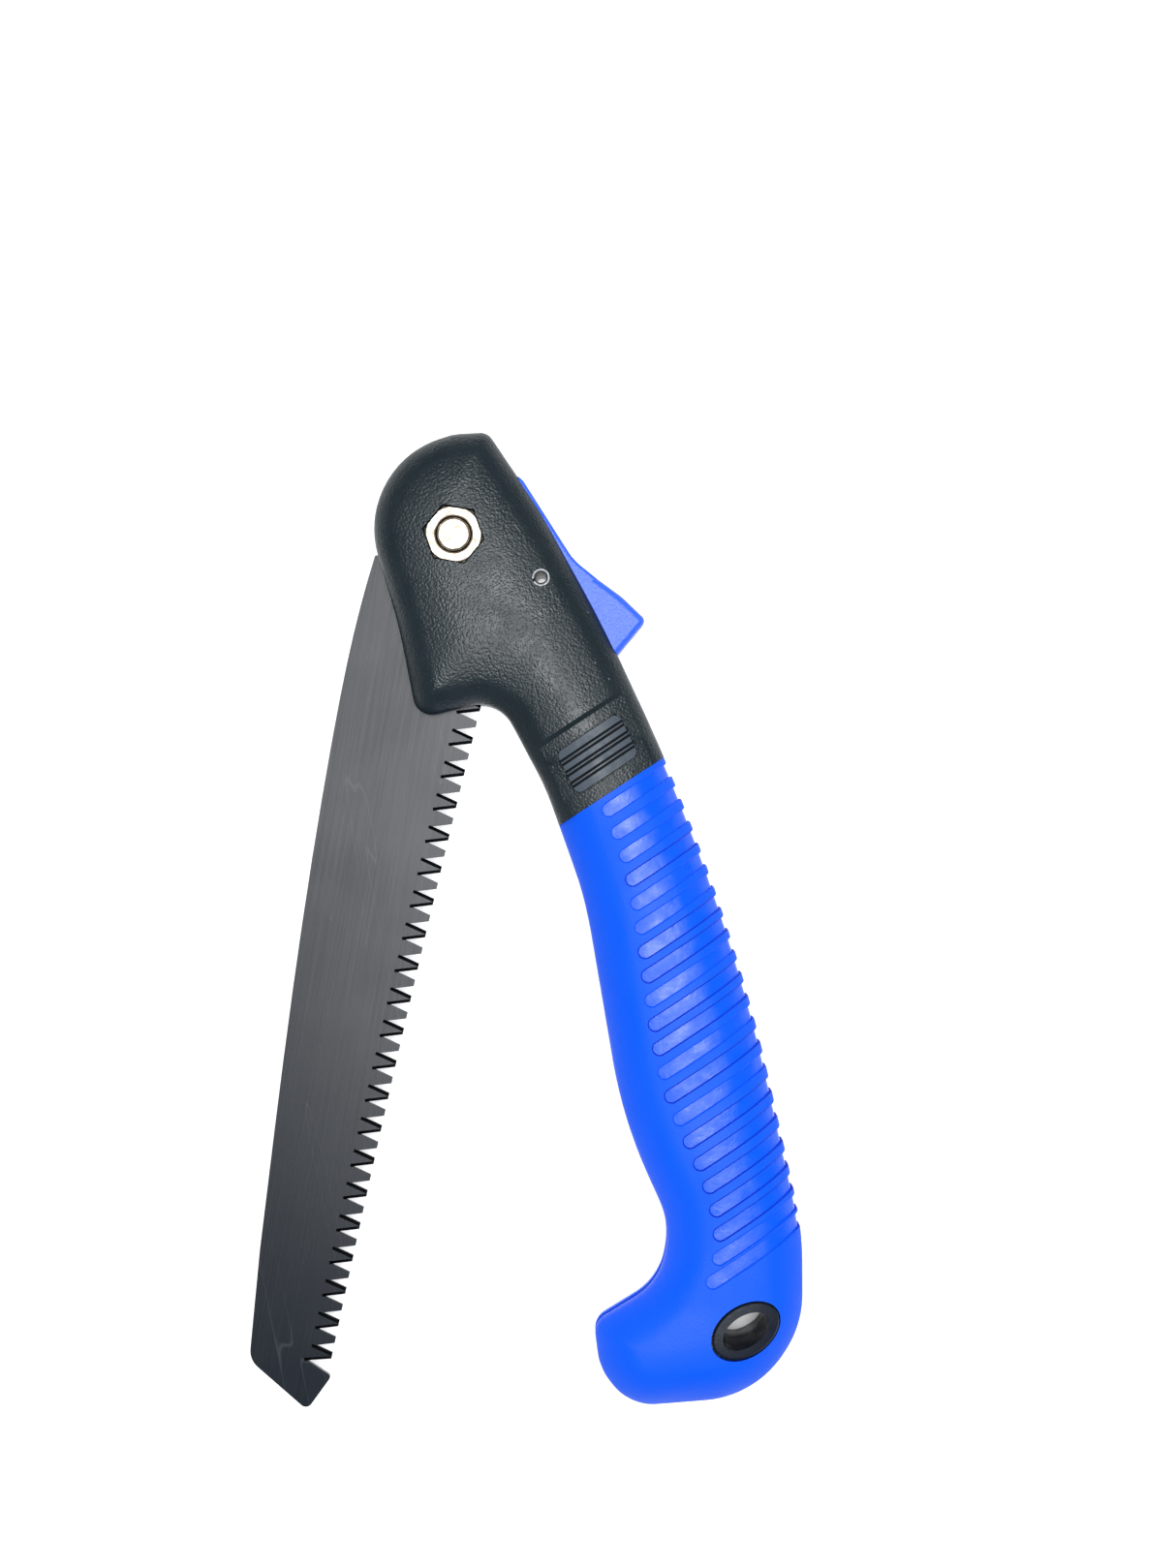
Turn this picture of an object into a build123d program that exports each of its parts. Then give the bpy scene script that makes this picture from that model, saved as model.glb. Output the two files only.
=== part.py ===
from build123d import *
from math import cos, degrees, radians, sin, tan
import os

# Folding pruning saw, lying on its far side. Millimetres. +Z is the thickness, with the nut side
# up and the table at z = 0. The origin is on the blade pivot's axis, in the table plane, and -Y
# runs down the handle. The blade is drawn half open, as it is carried out of the handle.

# ---------------------------------------------------------------- overall sizes
handle_thickness = 24.0      # over the two outer faces
handle_length = 209.6        # pivot to the bottom of the butt
blade_thickness = 1.4
blade_angle = -120.0         # direction of the blade from the pivot, half open
closed_angle = -94.0         # and folded into the handle
open_angle = -270.0          # and locked open

# ---------------------------------------------------------------- pivot
bolt_diameter = 8.0
bolt_head_diameter = 13.0
bolt_head_height = 4.2
bolt_head_recess = 0.5       # head below the outer face
bolt_head_round = 1.0
hex_socket = 6.0             # across flats
hex_depth = 2.5
bolt_end_proud = 0.2         # end of the bolt above the nut
bolt_end_chamfer = 0.6
nut_flats = 12.0
nut_height = 6.0
nut_recess = 0.6
nut_countersink = 0.5
nut_round = 1.04                # top face past the flats, where its corners start to fall
bush_wall = 0.95
thrust_washer_diameter = 17.0
thrust_washer_thickness = 0.5
spring_washer_thickness = 1.0
spring_washer_diameter = 12.0
spring_washer_split = 0.9
flat_washer_thickness = 1.2
flat_washer_diameter = 14.2

# ---------------------------------------------------------------- lever and lock
pin_diameter = 4.0
pin_wall = 0.75
pin_split = 0.8
pin_x = 15.4
pin_y = -16.2
pin_recess = 1.9             # pin ends below the outer faces
lever_width = 12.0           # along Z
lever_edge_radius = 0.8
pad_edge_radius = 1.5
boss_wall = 2.0              # lever round its pin
pawl_thickness = 2.2
pawl_width = 4.0
pawl_angle = 12.4            # direction of the pawl from the blade pivot
tang_radius = 14.5           # round of the tang that the pawl rides on
notch_radius = 12.3          # bottom of the two lock notches
shoulder_radius = 17.0       # corner of the closed notch
spring_diameter = 5.0
spring_wire = 0.6
spring_coils = 7
spring_y = -30.5

# ---------------------------------------------------------------- grip
sleeve_thickness = 1.8
groove_count = 21
groove_width = 3.0
groove_depth = 0.7
groove_rim = 0.25            # chamfer of the grooves' rims
seam_tilt = 13.0             # of the collar's seam, the grooves and the panel lines
head_edge_radius = 6.0
grip_edge_radius = 9.0

# ---------------------------------------------------------------- collar panels
panel_length = 17.3
panel_height = 11.0
panel_angle = 13.5
panel_slant = 7.5            # lean of the panel's short sides
panel_corner = 1.8
panel_thickness = 1.2
panel_sink = 0.15            # panel below the collar's face
collar_drop = 0.8            # collar face below the head's face
collar_ramp = 1.1            # length of the step between the two
line_depth = 0.3             # double lines cut in the panel
line_width = 0.3
line_spacing = 0.95          # of the two lines in a pair

# ---------------------------------------------------------------- blade teeth
tooth_count = 42
tooth_height = 4.3
first_gullet = 32.4          # from the pivot, along the blade
teeth_to_tip = 10.4          # last gullet to the tip
lead_lean = 14.5             # flanks from square to the blade's axis
back_lean = 16.5
bevel_width = 0.75
bevel_depth = 0.6
bevel_run_in = 0.8           # start of the grinding before the gullet
heel_height = 12.8           # tooth tips above the blade's axis at the first tooth
heel_step = 1.8              # plain edge before the teeth, below their tips
toe_height = 3.9             # and at the last
tooth_line_sag = 0.75        # hollow of the tooth line between the two

# ---------------------------------------------------------------- lanyard eyelet
eyelet_length = 16.8
eyelet_width = 11.6
eyelet_hole_length = 11.8
eyelet_hole_width = 7.2
eyelet_flange = 1.4
eyelet_wall = 1.0
eyelet_round = 0.6
eyelet_draft = 0.8           # narrowing of the hole at the middle of the handle, each side
eyelet_from_butt = 14.5

# ---------------------------------------------------------------- clearances
slot_side_gap = 0.1          # blade washers to blade, each side
blade_tip_gap = 0.7          # blade tip to the end of the slot
tooth_gap = 1.5              # tooth tips to the floor of the slot
sleeve_slot_gap = 0.3        # sleeve back from the core's slot, each side
running_gap = 0.05           # radial, shaft in hole
seat_gap = 0.02              # radial, fixed pieces
pocket_gap = 0.35            # round the nut, the head and the panels
eyelet_face_gap = 0.1        # eyelet below the outer faces
lever_gap = 0.2              # lever to the sides of its bay
lever_clearance = 0.5        # lever to the ends and floor of its bay
pawl_gap = 0.3               # pawl tip to the tang's round
notch_gap = 0.5              # pawl to the sides of a notch
butt_wall = 3.8              # blade tip to the outside of the butt

# ---------------------------------------------------------------- derived
mid = handle_thickness / 2
blade_reach = handle_length - butt_wall
slot_width = blade_thickness + 2 * (thrust_washer_thickness + slot_side_gap)
slot_low = mid - slot_width / 2
slot_high = mid + slot_width / 2
last_gullet = blade_reach - teeth_to_tip
tooth_pitch = (last_gullet - first_gullet) / tooth_count
nut_top = handle_thickness - nut_recess
nut_bottom = nut_top - nut_height
nut_floor = nut_bottom - spring_washer_thickness
head_top = bolt_head_recess + bolt_head_height
head_floor = head_top + flat_washer_thickness
bay_width = lever_width + 2 * lever_gap
bush_diameter = bolt_diameter + 2 * (running_gap + bush_wall)
boss_radius = pin_diameter / 2 + boss_wall
lever_low = mid - lever_width / 2
pawl_low = mid - pawl_thickness / 2
eyelet_centre = (-0.2, eyelet_from_butt - handle_length)
seam_point = (14.0, -68.0)
step_point = (12.0, -49.5)
tilt_along = (cos(radians(seam_tilt)), sin(radians(seam_tilt)))
seam_plane = Plane(
    origin=(*seam_point, 0),
    x_dir=(*tilt_along, 0),
    z_dir=(-tilt_along[1], tilt_along[0], 0),
)


def grip_y(share):
    """Y of a point on the grip, as a share of the way from the seam to the butt."""
    return seam_point[1] - share * (handle_length + seam_point[1])


def butt_y(rise):
    """Y of a point a given rise above the bottom of the butt."""
    return rise - handle_length


def polar(radius, angle):
    """A point by its distance and direction from the blade pivot."""
    return (radius * cos(radians(angle)), radius * sin(radians(angle)))


def on_blade(u, v, angle):
    """Row X and Y of a point u along the blade and v towards its teeth."""
    c = cos(radians(angle))
    s = sin(radians(angle))
    return (u * c - v * s, u * s + v * c)


def tooth_line(u):
    """Height of the tooth tips above the blade's axis."""
    share = (u - first_gullet) / (last_gullet - first_gullet)
    rise = heel_height + (toe_height - heel_height) * share
    return rise - 4 * tooth_line_sag * share * (1 - share)


# Handle outline: corner, then the radius that rounds it. Anticlockwise from the head's back.
handle_corners = [
    (15.5, 20.1, 3.2),               # top corner over the lever
    (8.0, 22.4, 10.0),
    (-17.0, 23.6, 22.0),             # round front of the head
    (-19.3, -14.5, 120.0),
    (-22.8, -36.6, 4.2),             # chin
    (-3.6, -38.7, 9.0),              # arch behind the chin
    (-0.4, -62.0, 60.0),
    (-0.7, grip_y(0.151), 90.0),
    (-10.2, grip_y(0.513), 110.0),   # belly
    (-8.3, butt_y(42.0), 20.0),
    (-15.3, butt_y(30.3), 15.0),     # finger hook
    (-32.9, butt_y(26.8), 4.5),
    (-35.3, butt_y(16.4), 14.0),
    (-31.7, butt_y(5.7), 12.0),
    (-3.5, butt_y(-2.2), 24.0),      # butt
    (12.6, butt_y(9.6), 24.0),
    (20.4, butt_y(31.0), 80.0),
    (27.2, grip_y(0.421), 400.0),
    (29.4, grip_y(0.084), 450.0),    # crown of the back
    (25.2, -30.3, 250.0),
    (20.8, -1.6, 120.0),
]

with BuildSketch() as handle_outline:
    with BuildLine():
        FilletPolyline(
            [(x, y) for x, y, r in handle_corners],
            radius=[r for x, y, r in handle_corners],
            close=True,
        )
    make_face()


def rounded_handle(inset, edge_radius):
    """The handle's outline, drawn in by inset on every side, with rounded long edges."""
    with BuildPart() as body:
        with BuildSketch(Plane.XY.offset(inset)):
            add(handle_outline.sketch)
            if inset > 0:
                offset(amount=-inset, kind=Kind.INTERSECTION)
        extrude(amount=handle_thickness - 2 * inset)
        fillet(body.edges().filter_by(Axis.Z, reverse=True), edge_radius - inset)
    return body.part


# ---------------------------------------------------------------- slot for the blade
# Open to the front and over the top of the head. Its floor follows the folded tooth line, and
# its far end follows the circle that the blade's tip turns on.
floor_steps = 8
slot_floor = [on_blade(first_gullet / 2, heel_height + tooth_gap, closed_angle)]
for step in range(floor_steps + 1):
    u = first_gullet + (last_gullet - first_gullet) * step / floor_steps
    slot_floor.append(on_blade(u, tooth_line(u) + tooth_gap, closed_angle))
slot_floor.append(on_blade(1.2 * blade_reach, toe_height + tooth_gap, closed_angle))
far = 1.3 * handle_length
open_side = polar(far, pawl_angle + 5)
slot_corners = [(0, 0), open_side, (far, far), (-far, far), (-far, -far), *reversed(slot_floor)]

with BuildSketch() as slot_shape:
    with BuildLine():
        Polyline(*slot_corners, close=True)
    make_face()
    Circle(blade_reach + blade_tip_gap, mode=Mode.INTERSECT)
    Circle(shoulder_radius + lever_clearance)

# ---------------------------------------------------------------- bay for the lever
bay_floor = 16.8
bay_top = 9.0
bay_bottom = -41.5
bay_outside = 42.0           # clear of the handle's back
boss_room = boss_radius + lever_clearance
bay_corners = [
    (bay_floor - 0.6, bay_top),
    (bay_floor - 0.4, 0.0),
    (bay_floor - 3.2, -9.5),
    (pin_x - boss_room, pin_y + 3.0),
    (pin_x - boss_room, pin_y - 3.0),
    (bay_floor, pin_y - boss_room - 1.8),
    (bay_floor, bay_bottom),
    (bay_outside, bay_bottom - 5.0),
    (bay_outside, bay_top),
]
with BuildSketch() as bay_shape:
    with BuildLine():
        Polyline(*bay_corners, close=True)
    make_face()

spring_plane = Plane(origin=(bay_floor, spring_y, mid), x_dir=(0, 1, 0), z_dir=(1, 0, 0))
spring_seat = 1.0            # depth of the spring's seat in the bay's floor

# ---------------------------------------------------------------- nylon core
core_skin = rounded_handle(0, head_edge_radius)
core_inside = rounded_handle(sleeve_thickness, grip_edge_radius)
panel_centre = (13.6, -58.8)
pocket_hex = nut_flats + 2 * pocket_gap


def panel_outline(growth):
    """The collar panel's rounded parallelogram, grown by growth on every side."""
    lean = panel_height / 2 * tan(radians(panel_slant))
    half_length = panel_length / 2
    half_height = panel_height / 2
    corners = [
        (-half_length - lean, -half_height),
        (half_length - lean, -half_height),
        (half_length + lean, half_height),
        (-half_length + lean, half_height),
    ]
    with BuildSketch() as outline:
        with Locations(Location((*panel_centre, 0), (0, 0, panel_angle))):
            Polygon(*corners, align=None)
        fillet(outline.vertices(), panel_corner)
        if growth > 0:
            offset(amount=growth)
    return outline.sketch


def eyelet_outline(length, width):
    """An oval on the eyelet's centre, along the seam's direction."""
    with BuildSketch() as outline:
        with Locations(Location((*eyelet_centre, 0), (0, 0, seam_tilt))):
            Ellipse(length / 2, width / 2)
    return outline.sketch


eyelet_barrel = (eyelet_hole_length + 2 * eyelet_wall, eyelet_hole_width + 2 * eyelet_wall)
collar_face = handle_thickness - collar_drop
# Upright plane across the collar's step, with X down the handle and Y up.
step_plane = Plane(
    origin=(*step_point, 0),
    x_dir=(tilt_along[1], -tilt_along[0], 0),
    z_dir=(-tilt_along[0], -tilt_along[1], 0),
)

with BuildPart() as handle_core:
    add(core_skin)
    split(bisect_by=seam_plane, keep=Keep.TOP)
    add(core_inside)
    # The collar's two faces lie a little below the head's, down a short ramp.
    with BuildSketch(step_plane):
        with BuildLine():
            Polyline(
                (0, handle_thickness),
                (collar_ramp, collar_face),
                (far, collar_face),
                (far, handle_thickness + 1),
                (0, handle_thickness + 1),
                close=True,
            )
        make_face()
        with BuildLine():
            Polyline(
                (0, 0),
                (collar_ramp, collar_drop),
                (far, collar_drop),
                (far, -1),
                (0, -1),
                close=True,
            )
        make_face()
    extrude(amount=far, both=True, mode=Mode.SUBTRACT)
    with BuildSketch(Plane.XY.offset(slot_low)):
        add(slot_shape.sketch)
    extrude(amount=slot_width, mode=Mode.SUBTRACT)
    with BuildSketch(Plane.XY.offset(mid - bay_width / 2)):
        add(bay_shape.sketch)
    extrude(amount=bay_width, mode=Mode.SUBTRACT)
    # Pivot: nut pocket above, head counterbore below, and the bush's seat between them.
    with BuildSketch(Plane.XY.offset(nut_floor)):
        RegularPolygon(radius=pocket_hex / 2, side_count=6, major_radius=False, rotation=30)
    extrude(amount=handle_thickness, mode=Mode.SUBTRACT)
    with BuildSketch(Plane.XY.offset(-1)):
        Circle(flat_washer_diameter / 2 + pocket_gap)
    extrude(amount=head_floor + 1, mode=Mode.SUBTRACT)
    with BuildSketch(Plane.XY):
        Circle(bush_diameter / 2 + seat_gap)
        with Locations((pin_x, pin_y)):
            Circle(pin_diameter / 2 + seat_gap)
    extrude(amount=handle_thickness, mode=Mode.SUBTRACT)
    # Spring seat in the floor of the bay, which opens towards +X.
    with BuildSketch(spring_plane.offset(-spring_seat)):
        Circle(spring_diameter / 2 + pocket_gap)
    extrude(amount=2 * spring_seat, mode=Mode.SUBTRACT)
    # Panel pockets and the eyelet's hole.
    with BuildSketch(Plane.XY.offset(collar_face - panel_sink - panel_thickness)):
        add(panel_outline(pocket_gap))
    extrude(amount=handle_thickness, mode=Mode.SUBTRACT)
    with BuildSketch(Plane.XY.offset(-1)):
        add(panel_outline(pocket_gap))
    extrude(amount=1 + collar_drop + panel_sink + panel_thickness, mode=Mode.SUBTRACT)
    with BuildSketch(Plane.XY):
        add(eyelet_outline(eyelet_barrel[0] + 2 * seat_gap, eyelet_barrel[1] + 2 * seat_gap))
    extrude(amount=handle_thickness, mode=Mode.SUBTRACT)
handle_core.part.label = "handle_core"

# ---------------------------------------------------------------- rubber grip
sleeve_slot_width = slot_width + 2 * sleeve_slot_gap
groove_line = Spline(
    (10.1, -72.1),
    (8.2, grip_y(0.215)),
    (3.4, grip_y(0.372)),
    (0.9, grip_y(0.528)),
    (2.0, grip_y(0.66)),
    (1.2, butt_y(40.1)),
    (-4.9, butt_y(27.4)),
)
groove_reach = 50.0

with BuildPart() as groove_cutters:
    with BuildSketch(Plane.XY.offset(-1)):
        for number in range(groove_count):
            start = groove_line @ (number / (groove_count - 1))
            middle = (
                start.X + tilt_along[0] * groove_reach / 2,
                start.Y + tilt_along[1] * groove_reach / 2,
            )
            with Locations(Location((*middle, 0), (0, 0, seam_tilt))):
                SlotOverall(groove_reach, groove_width)
    extrude(amount=handle_thickness + 2)
    add(rounded_handle(groove_depth, grip_edge_radius), mode=Mode.SUBTRACT)



def is_groove_wall(face):
    """Whether a face is a straight side or the round end of a groove."""
    if face.geom_type == GeomType.CYLINDER:
        return abs(face.radius - groove_width / 2) < 0.001
    normal = face.normal_at()
    upright = abs(normal.Z) < 0.001
    across = abs(normal.X * tilt_along[0] + normal.Y * tilt_along[1]) < 0.001
    below_seam = seam_plane.to_local_coords(face.center()).Z < -0.1
    return face.geom_type == GeomType.PLANE and upright and across and below_seam


with BuildPart() as grip_sleeve:
    add(rounded_handle(0, grip_edge_radius))
    split(bisect_by=seam_plane, keep=Keep.BOTTOM)
    add(core_inside, mode=Mode.SUBTRACT)
    with BuildSketch(Plane.XY.offset(mid - sleeve_slot_width / 2)):
        add(slot_shape.sketch)
    extrude(amount=sleeve_slot_width, mode=Mode.SUBTRACT)
    with BuildSketch(Plane.XY):
        add(eyelet_outline(eyelet_length + 2 * pocket_gap, eyelet_width + 2 * pocket_gap))
    extrude(amount=handle_thickness, mode=Mode.SUBTRACT)
    add(groove_cutters.part, mode=Mode.SUBTRACT)
    # Rims are the edges of the grooves' walls that lie outside a skin half as deep as the floors.
    half_skin = rounded_handle(groove_depth / 2, grip_edge_radius).solid()
    rims = grip_sleeve.faces().filter_by(is_groove_wall).edges().filter_by(
        lambda edge: not half_skin.is_inside(edge @ 0.5)
    )
    chamfer(rims, groove_rim)
grip_sleeve.part.label = "grip_sleeve"


# ---------------------------------------------------------------- collar panels
def make_panel(label, bottom, line_face):
    """A collar panel with three double lines cut in its outer face."""
    with BuildPart() as panel:
        with BuildSketch(Plane.XY.offset(bottom)):
            add(panel_outline(0))
        extrude(amount=panel_thickness)
        with BuildSketch(Plane.XY.offset(line_face - line_depth)):
            for row in (-1, 0, 1):
                for side in (-1, 1):
                    rise = row * panel_height / 4 + side * line_spacing / 2
                    place = (
                        panel_centre[0] - rise * sin(radians(panel_angle)),
                        panel_centre[1] + rise * cos(radians(panel_angle)),
                    )
                    with Locations(Location((*place, 0), (0, 0, panel_angle))):
                        Rectangle(1.5 * panel_length, line_width)
        extrude(amount=2 * line_depth, mode=Mode.SUBTRACT)
    panel.part.label = label
    return panel.part


inlay_near = make_panel(
    "inlay_near", collar_face - panel_sink - panel_thickness, collar_face - panel_sink
)
inlay_far = make_panel("inlay_far", collar_drop + panel_sink, collar_drop + panel_sink)


# ---------------------------------------------------------------- eyelet halves
def make_eyelet(label, face, outward):
    """Half of the lanyard eyelet: an oval flange and a barrel to the middle of the handle."""
    with BuildPart() as eyelet:
        with BuildSketch(Plane.XY.offset(face)):
            add(eyelet_outline(eyelet_length, eyelet_width))
        extrude(amount=-outward * eyelet_flange)
        fillet(eyelet.faces().sort_by(Axis.Z)[-1 if outward > 0 else 0].edges(), eyelet_round)
        with BuildSketch(Plane.XY.offset(face - outward * eyelet_flange)):
            add(eyelet_outline(*eyelet_barrel))
        extrude(amount=-outward * (abs(face - mid) - eyelet_flange - seat_gap))
        with BuildSketch(Plane.XY.offset(face)):
            add(eyelet_outline(eyelet_hole_length, eyelet_hole_width))
        with BuildSketch(Plane.XY.offset(mid)):
            waist_length = eyelet_hole_length - 2 * eyelet_draft
            add(eyelet_outline(waist_length, eyelet_hole_width - 2 * eyelet_draft))
        loft(mode=Mode.SUBTRACT)
    eyelet.part.label = label
    return eyelet.part


eyelet_near = make_eyelet("eyelet_near", handle_thickness - eyelet_face_gap, 1)
eyelet_far = make_eyelet("eyelet_far", eyelet_face_gap, -1)

# ---------------------------------------------------------------- pivot hardware
with BuildPart() as pivot_nut:
    with BuildSketch(Plane.XY.offset(nut_bottom)):
        RegularPolygon(radius=nut_flats / 2, side_count=6, major_radius=False, rotation=30)
    extrude(amount=nut_height)
    # Both faces of the hexagon are turned down to a 30 degree cone.
    corner_radius = 1.01 * nut_flats / 2 / cos(radians(30))
    cone_radius = nut_round * nut_flats / 2
    cone_drop = (corner_radius - cone_radius) * tan(radians(30))
    with BuildSketch(Plane.XZ):
        with BuildLine():
            Polyline(
                (0, nut_bottom),
                (cone_radius, nut_bottom),
                (corner_radius, nut_bottom + cone_drop),
                (corner_radius, nut_top - cone_drop),
                (cone_radius, nut_top),
                (0, nut_top),
                close=True,
            )
        make_face()
    revolve(axis=Axis.Z, mode=Mode.INTERSECT)
    with BuildSketch(Plane.XY.offset(nut_bottom)):
        Circle(bolt_diameter / 2 + seat_gap)
    extrude(amount=nut_height, mode=Mode.SUBTRACT)
    bore_edges = pivot_nut.edges().filter_by(GeomType.CIRCLE).filter_by(
        lambda edge: edge.radius < bolt_diameter / 2 + 2 * seat_gap
    )
    chamfer(bore_edges, nut_countersink)
pivot_nut.part.label = "pivot_nut"

bolt_end = nut_top + bolt_end_proud
with BuildPart() as pivot_bolt:
    with BuildSketch(Plane.XY.offset(bolt_head_recess)):
        Circle(bolt_head_diameter / 2)
    extrude(amount=bolt_head_height)
    fillet(pivot_bolt.edges().sort_by(Axis.Z)[0], bolt_head_round)
    with BuildSketch(Plane.XY.offset(head_top)):
        Circle(bolt_diameter / 2)
    extrude(amount=bolt_end - head_top)
    chamfer(pivot_bolt.edges().sort_by(Axis.Z)[-1], bolt_end_chamfer)
    with BuildSketch(Plane.XY.offset(bolt_head_recess)):
        RegularPolygon(radius=hex_socket / 2, side_count=6, major_radius=False)
    extrude(amount=hex_depth, mode=Mode.SUBTRACT)
pivot_bolt.part.label = "pivot_bolt"


def make_ring(label, bottom, thickness, outer, inner):
    """A plain round washer or sleeve on the pivot's axis."""
    with BuildPart() as ring:
        with BuildSketch(Plane.XY.offset(bottom)):
            Circle(outer / 2)
            Circle(inner / 2, mode=Mode.SUBTRACT)
        extrude(amount=thickness)
    ring.part.label = label
    return ring.part


shank_hole = bolt_diameter + 2 * running_gap
bush_hole = bush_diameter + 2 * running_gap
washer_hole = bolt_diameter + 2 * pocket_gap
bolt_washer = make_ring(
    "bolt_washer", head_top, flat_washer_thickness, flat_washer_diameter, washer_hole
)
pivot_bush = make_ring(
    "pivot_bush", head_floor, nut_floor - head_floor, bush_diameter, shank_hole
)
thrust_washer_near = make_ring(
    "thrust_washer_near",
    slot_high - thrust_washer_thickness,
    thrust_washer_thickness,
    thrust_washer_diameter,
    bush_hole,
)
thrust_washer_far = make_ring(
    "thrust_washer_far", slot_low, thrust_washer_thickness, thrust_washer_diameter, bush_hole
)

with BuildPart() as spring_washer:
    with BuildSketch(Plane.XY.offset(nut_floor)):
        Circle(spring_washer_diameter / 2)
        Circle(washer_hole / 2, mode=Mode.SUBTRACT)
        with Locations((spring_washer_diameter / 2, 0)):
            Rectangle(spring_washer_diameter / 2, spring_washer_split, mode=Mode.SUBTRACT)
    extrude(amount=spring_washer_thickness)
spring_washer.part.label = "spring_washer"

# ---------------------------------------------------------------- blade
# Drawn along its own axis, u from the pivot to the tip and v towards the teeth, then placed.
blade_plane = Plane(
    origin=(0, 0, mid - blade_thickness / 2),
    x_dir=(cos(radians(blade_angle)), sin(radians(blade_angle)), 0),
    z_dir=(0, 0, 1),
)
pawl_reach = tang_radius + pawl_gap
notch_half = degrees((pawl_width / 2 + notch_gap) / tang_radius)
closed_notch = pawl_angle - closed_angle
open_notch = pawl_angle - open_angle
tooth_points = []
for number in range(tooth_count):
    low_u = first_gullet + number * tooth_pitch
    lead_tip_u = low_u + tooth_height * tan(radians(lead_lean))
    back_tip_u = low_u + tooth_pitch - tooth_height * tan(radians(back_lean))
    tooth_points.append((low_u, tooth_line(low_u) - tooth_height))
    tooth_points.append((lead_tip_u, tooth_line(lead_tip_u)))
    tooth_points.append((back_tip_u, tooth_line(back_tip_u)))
end_gullet = (last_gullet, tooth_line(last_gullet) - tooth_height - 1.0)
tooth_points.append(end_gullet)
spine_start = (7.2, -17.95)

with BuildPart() as blade:
    with BuildSketch(blade_plane) as blade_outline:
        with BuildLine():
            tip_points = [
                end_gullet,
                (last_gullet + 2.6, 4.7),
                (blade_reach + 1.0, 0.4),
                (last_gullet + 2.1, -14.9),
                (blade_reach - 34.0, -16.85),
            ]
            tip_line = FilletPolyline(tip_points, radius=(0.9, 1.6, 5.0))
            Spline(
                tip_points[-1],
                (0.6 * blade_reach, -19.15),
                (0.25 * blade_reach, -20.5),
                (25.0, -19.7),
                spine_start,
            )
            notch_corner = polar(tang_radius, open_notch - notch_half)
            open_low = polar(notch_radius, open_notch - notch_half)
            open_high = polar(notch_radius, open_notch + notch_half)
            Polyline(spine_start, open_high, open_low, notch_corner)
            tang_start = polar(tang_radius, closed_notch + notch_half)
            ThreePointArc(
                notch_corner, polar(tang_radius, (open_notch + closed_notch) / 2), tang_start
            )
            closed_low = polar(notch_radius, closed_notch + notch_half)
            closed_high = polar(notch_radius, closed_notch - notch_half)
            shoulder = polar(shoulder_radius, closed_notch - notch_half)
            heel = (first_gullet - 3.0, heel_height - heel_step)
            Polyline(
                tang_start,
                closed_low,
                closed_high,
                shoulder,
                (3.0, 15.8),
                (14.0, heel_height - heel_step),
                heel,
                *tooth_points,
            )
        make_face()
        Circle(bush_diameter / 2 + running_gap, mode=Mode.SUBTRACT)
    extrude(amount=blade_thickness)
    # Every second tooth is ground from the near face, the others from the far face. Each flank
    # takes one wedge, from a little before its gullet to past its tip.
    for number in range(tooth_count):
        facing = 1 if (tooth_count - number) % 2 == 1 else -1
        before, lead, back, after = tooth_points[3 * number : 3 * number + 4]
        for base, tip, side in ((before, lead, 1), (after, back, -1)):
            face_z = mid + facing * blade_thickness / 2
            start = Vector(*on_blade(*base, blade_angle), face_z)
            run = Vector(*on_blade(*tip, blade_angle), face_z) - start
            into = Vector(0, 0, side).cross(run).normalized() * -1
            grind_plane = Plane(
                origin=start - run.normalized() * bevel_run_in, x_dir=into, z_dir=run
            )
            upward = 1 if grind_plane.y_dir.Z > 0 else -1
            deep = -upward * facing * bevel_depth
            with BuildSketch(grind_plane):
                with BuildLine():
                    Polyline(
                        (-seat_gap, deep),
                        (0, deep),
                        (bevel_width, 0),
                        (bevel_width, -deep),
                        (-seat_gap, -deep),
                        close=True,
                    )
                make_face()
            extrude(amount=run.length + bevel_run_in + 1, mode=Mode.SUBTRACT)
blade.part.label = "blade"

# ---------------------------------------------------------------- lock lever
# The pawl is a stamped plate moulded into the lever, with its nose pointing at the blade pivot.
crest = (27.5, -20.4)
seam_inner = (20.6, -22.0)
bore_end = 26.5              # of the spring's bore in the thumb pad, along X
bore_radius = spring_diameter / 2 + 0.5
tongue_width = lever_width / 2
pawl_eye = pin_diameter / 2 + 1.0
pawl_neck = pawl_eye - pocket_gap


def pawl_corner(radius, side):
    """A corner of the pawl's nose: its distance from the pivot and its side of the centre line."""
    centre = polar(radius, pawl_angle)
    across = polar(side * pawl_width / 2, pawl_angle + 90)
    return (centre[0] + across[0], centre[1] + across[1])


with BuildSketch() as pawl_shape:
    with BuildLine():
        Polyline(
            pawl_corner(pawl_reach, 1),
            pawl_corner(pawl_reach, -1),
            (18.6, 1.6),
            (18.4, -4.0),
            (16.2, -9.5),
            (pin_x - pawl_neck, pin_y + 1.2),
            (pin_x + pawl_neck, pin_y + 1.2),
            (20.6, -9.5),
            (20.4, -1.0),
            (19.0, 5.9),
            pawl_corner(pawl_reach + 3.4, 1),
            close=True,
        )
    make_face()
    with Locations((pin_x, pin_y)):
        Circle(pawl_eye)

with BuildPart() as lock_pawl:
    with BuildSketch(Plane.XY.offset(pawl_low)):
        add(pawl_shape.sketch)
        with Locations((pin_x, pin_y)):
            Circle(pin_diameter / 2 + running_gap, mode=Mode.SUBTRACT)
    extrude(amount=pawl_thickness)
lock_pawl.part.label = "lock_pawl"

with BuildSketch() as tongue_shape:
    with BuildLine():
        Polyline((22.6, -19.0), (26.0, -19.0), (30.0, -32.0), (22.6, -32.0), close=True)
    make_face()


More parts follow.
